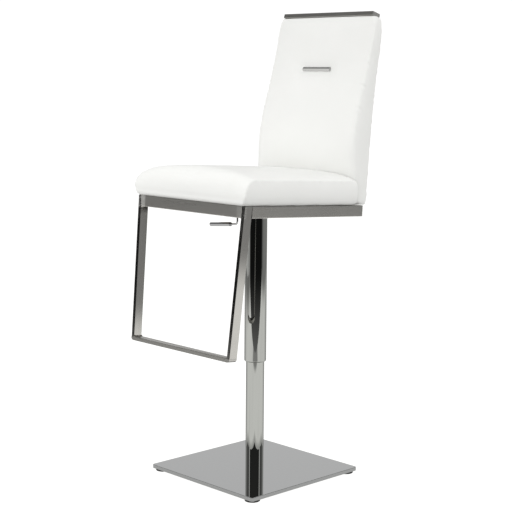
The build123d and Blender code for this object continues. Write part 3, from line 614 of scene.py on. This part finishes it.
def swell(piece, cap, hold):
    """Starts the cover a little small, then blows it up like stuffed cloth that is sewn at its edges."""
    mesh = piece.data
    free = [(1 - hold(vertex)) * (1 - seam_share(vertex.normal)) for vertex in mesh.vertices]
    normals = [vertex.normal.copy() for vertex in mesh.vertices]
    for vertex, normal, share in zip(mesh.vertices, normals, free):
        vertex.co -= normal * (cap * COVER_START * share)
    start = [vertex.co.copy() for vertex in mesh.vertices]
    held = piece.vertex_groups.new(name="held")
    for index, share in enumerate(free):
        held.add([index], 1 - share, "REPLACE")
    cloth = piece.modifiers.new("cover", "CLOTH")
    cloth.settings.use_pressure = True
    cloth.settings.uniform_pressure_force = COVER_PRESSURE
    cloth.settings.effector_weights.gravity = 0
    cloth.settings.vertex_group_mass = "held"
    cloth.point_cache.frame_start = 1
    cloth.point_cache.frame_end = COVER_FRAMES
    for number in range(1, COVER_FRAMES + 1):
        scene.frame_set(number)
    depsgraph = bpy.context.evaluated_depsgraph_get()
    ends = [v.co.copy() for v in piece.evaluated_get(depsgraph).data.vertices]
    piece.modifiers.clear()
    piece.vertex_groups.clear()
    scene.frame_set(1)
    for vertex, co, end, share in zip(mesh.vertices, start, ends, free):
        limit = cap * share
        move = end - co
        if move.length > limit:
            move = move.normalized() * limit if limit else Vector()
        vertex.co = co + move
    mesh.update()


def tuck_under(vertex):
    """Draws a cushion's lower edge in, where its cover is pulled under."""
    outward = vertex.normal - seat_up * vertex.normal.dot(seat_up)
    return outward * (-TUCK_DEPTH * fade(above_frame(vertex.co), TUCK_HEIGHT))


def settle_top(vertex):
    """Lets the middle of the seat's top sink a little, as it does under use."""
    middle = 1 - fade(seat_high.x - abs(vertex.co.x), SETTLE_REACH)
    return seat_up * (-SETTLE_DEPTH * middle * max(0.0, vertex.normal.dot(seat_up)))


def refine(piece, thickness, hold):
    """One subdivision, then the cover's own thickness and its seams, finer than the cloth's mesh."""

    def thicken(vertex):
        gather = PUCKER_DEPTH * pucker(vertex.co) * seam_share(vertex.normal, PUCKER_SPREAD)
        ridge = SEAM_RIDGE * seam_share(vertex.normal)
        return vertex.normal * (thickness + gather + ridge) * (1 - hold(vertex))

    finer = piece.modifiers.new("finer", "SUBSURF")
    finer.levels = 1
    finer.render_levels = 1
    take_modifiers(piece)
    move_all(piece, thicken)


def cushion(name, nodes, cap, thickness, hold, material):
    """A stuffed cover in place of its cushion's solid, the first of the nodes that it goes round."""
    piece = skin_round(name, nodes, material)
    swell(piece, cap, hold)
    move_all(piece, tuck_under)
    if name == "seat_cover":
        move_all(piece, settle_top)
    refine(piece, thickness, hold)
    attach(piece, "seat")
    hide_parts(nodes[0])


seat_pieces = ["seat_cushion", "seat_board"]
cushion("seat_cover", seat_pieces, SEAT_SWELL, SEAT_COVER, hold_seat, cover)
back_pieces = ["back_cushion", "back_cross_rail", "left_upright", "right_upright"]
cushion("back_cover", back_pieces, BACK_SWELL, BACK_COVER, hold_back, cover)


# Weld beads inside the corners of the footrest loop


def weld_bead(name, start, end):
    """A rippled bead along the line where two bars meet."""
    bm = bmesh.new()
    length = (end - start).length
    ends = {"radius1": WELD_SIZE, "radius2": WELD_SIZE, "cap_ends": True}
    bmesh.ops.create_cone(bm, segments=WELD_SIDES, depth=length, **ends)
    runs = [edge for edge in bm.edges if abs(edge.verts[0].co.z - edge.verts[1].co.z) > length / 2]
    bmesh.ops.subdivide_edges(bm, edges=runs, cuts=round(length / WELD_STEP), use_grid_fill=True)
    for vertex in bm.verts:
        swelling = 1 + WELD_RIPPLE * math.cos(math.pi * vertex.co.z / WELD_STEP)
        vertex.co.x *= swelling
        vertex.co.y *= swelling
    turn = (end - start).to_track_quat("Z", "Y").to_matrix()
    bmesh.ops.rotate(bm, cent=(0, 0, 0), matrix=turn, verts=bm.verts)
    bmesh.ops.translate(bm, vec=(start + end) / 2, verts=bm.verts)
    piece = piece_from(bm, name, weld_metal)
    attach(piece, "seat")


weld_metal = ground_weld()
rail_x = front_high.x - WELD_FROM_SIDE
rail_z = front_low.z + WELD_LIFT
foot_x = bar_high.x - LEG_THICKNESS
for side, sign in (("left", -1), ("right", 1)):
    rail_start = Vector((sign * rail_x, front_low.y + WELD_INSET, rail_z))
    rail_end = Vector((sign * rail_x, front_high.y, rail_z))
    weld_bead(side + "_rail_weld", rail_start, rail_end)
    foot_start = Vector((sign * foot_x, bar_low.y + WELD_INSET, bar_high.z))
    foot_end = Vector((sign * foot_x, bar_high.y, leg_low.z))
    weld_bead(side + "_foot_weld", foot_start, foot_end)


# Stage


def make_floor():
    """Pale, evenly glowing floor; reflections find it darker at its sides, behind and ahead, with a painted
    plate shadow.
    """
    f = finish("floor")
    x, y, _ = f.axes(f.place())
    aside = x * to_right.x + y * to_right.y
    ahead = x * to_camera.x + y * to_camera.y
    faded = FLOOR_FADE * (aside.ramp(*FADE_LEFT) + aside.ramp(*FADE_RIGHT))
    # A painted shadow of the base plate on the floor round it, seen only in reflections
    painted_plate_shadow = PAINTED_PLATE_SHADOW * abs(x).larger(abs(y)).ramp(*PLATE_SHADOW_REACH)
    behind = FLOOR_BEHIND * (ahead / (x * x + y * y).root()).ramp(*BEHIND_TURN)
    in_front = FLOOR_AHEAD * ahead.ramp(*AHEAD_START) * abs(aside).ramp(*AHEAD_SIDES)
    share = 1 - (1 - FLOOR_BOUNCE) * f.ray("Is Diffuse Ray")
    mirrored = f.ray("Is Glossy Ray")
    for shade in (faded, painted_plate_shadow, behind, in_front):
        share = share * (1 - mirrored * shade)
    diffuse = f.node("ShaderNodeBsdfDiffuse", inputs={"Color": (FLOOR_SHADE, FLOOR_SHADE, FLOOR_SHADE, 1)})
    glow = f.node("ShaderNodeEmission", inputs={"Color": (1, 1, 0.985, 1), "Strength": FLOOR_GLOW})
    glowing = f.node("ShaderNodeAddShader", inputs={0: diffuse, 1: glow})
    mixed = f.node("ShaderNodeMixShader", inputs={0: share, 1: diffuse, 2: glowing})
    f.node("ShaderNodeOutputMaterial", inputs={0: mixed})
    bm = bmesh.new()
    bmesh.ops.create_grid(bm, x_segments=1, y_segments=1, size=1)
    depth = FLOOR_FRONT + FLOOR_REAR
    bmesh.ops.scale(bm, vec=(FLOOR_SIDE, depth / 2, 1), verts=bm.verts)
    bmesh.ops.translate(bm, vec=(0, depth / 2 - FLOOR_FRONT, 0), verts=bm.verts)
    turn = Matrix.Rotation(CAMERA_AZIMUTH, 3, "Z")
    bmesh.ops.rotate(bm, cent=(0, 0, 0), matrix=turn, verts=bm.verts)
    piece_from(bm, "floor", f.owner)


def make_room():
    """White where the camera looks; in reflections a dark room with a bright rear wall and a far floor."""
    world = bpy.data.worlds.new("studio")
    scene.world = world
    world.cycles.sampling_method = "NONE"
    f = Finish(world)
    x, y, z = f.axes(f.node("ShaderNodeTexCoord", output="Generated"))
    ahead = x * to_camera.x + y * to_camera.y
    right = (x * to_right.x + y * to_right.y).ramp(*RIGHT_HALF)
    rear = ahead.ramp(*REAR_WALL)
    side = ahead.ramp(*SIDE_WALL) * z.ramp(*SIDE_WALL_FOOT)
    strip = ahead.ramp(*STRIP_REAR) * ahead.ramp(*STRIP_NEAR) * z.ramp(*STRIP_FOOT) * z.ramp(*STRIP_TOP)
    in_front = ahead.ramp(*FRONT_WALL)
    above = ROOM_SIDE * side + (ROOM_BACK - ROOM_SIDE) * rear + STRIP_LIGHT * strip
    above = above + ROOM_FRONT * in_front * z.ramp(*FRONT_WALL_FOOT)
    far_left = FAR_LEFT * (1 - right) * z.ramp(*FAR_LEFT_EDGE)
    far_right = FAR_RIGHT * right * z.ramp(*FAR_RIGHT_EDGE)
    far_front = FAR_FRONT * in_front * z.ramp(*FAR_FRONT_EDGE)
    below = (far_left + far_right) * (1 - in_front) + far_front
    mirrored = ROOM_BLACK + above * z.ramp(*HORIZON) + below
    fill = ROOM_FILL * (FILL_BELOW + (1 - FILL_BELOW) * z.ramp(*FILL_EDGE))
    bounced = f.ray("Is Diffuse Ray")
    light = mirrored * (1 - bounced) + fill * bounced
    room = f.node("ShaderNodeBackground", inputs={"Color": (1, 1, 1, 1), "Strength": light})
    white = f.node("ShaderNodeBackground", inputs={"Color": (1, 1, 1, 1), "Strength": BACKDROP_WHITE})
    mixed = f.node("ShaderNodeMixShader", inputs={0: f.ray("Is Camera Ray"), 1: room, 2: white})
    f.node("ShaderNodeOutputWorld", inputs={0: mixed})


def make_light(name, place, power):
    """A large soft light aimed at the stool, and left out of reflections."""
    light = bpy.data.lights.new(name, "AREA")
    light.size = LIGHT_SIZE
    light.energy = power
    lamp = bpy.data.objects.new(name, light)
    lamp.location = place
    lamp.rotation_mode = "QUATERNION"
    lamp.rotation_quaternion = (STOOL_MIDDLE - Vector(place)).to_track_quat("-Z", "Y")
    lamp.visible_camera = False
    lamp.visible_glossy = False
    scene.collection.objects.link(lamp)


def make_camera():
    """The camera at its fitted place, looking along its azimuth and pitch with a slight roll."""
    data = bpy.data.cameras.new("camera")
    data.lens = CAMERA_LENS
    data.sensor_width = CAMERA_SENSOR
    camera = bpy.data.objects.new("camera", data)
    level = math.cos(CAMERA_PITCH)
    view = Vector((-to_camera.x * level, -to_camera.y * level, -math.sin(CAMERA_PITCH)))
    camera.location = CAMERA_PLACE
    camera.rotation_mode = "QUATERNION"
    camera.rotation_quaternion = view.to_track_quat("-Z", "Y") @ Quaternion((0, 0, 1), CAMERA_ROLL)
    scene.collection.objects.link(camera)
    scene.camera = camera


make_floor()
make_room()
for name, (place, power) in LIGHTS.items():
    make_light(name, place, power)
make_camera()
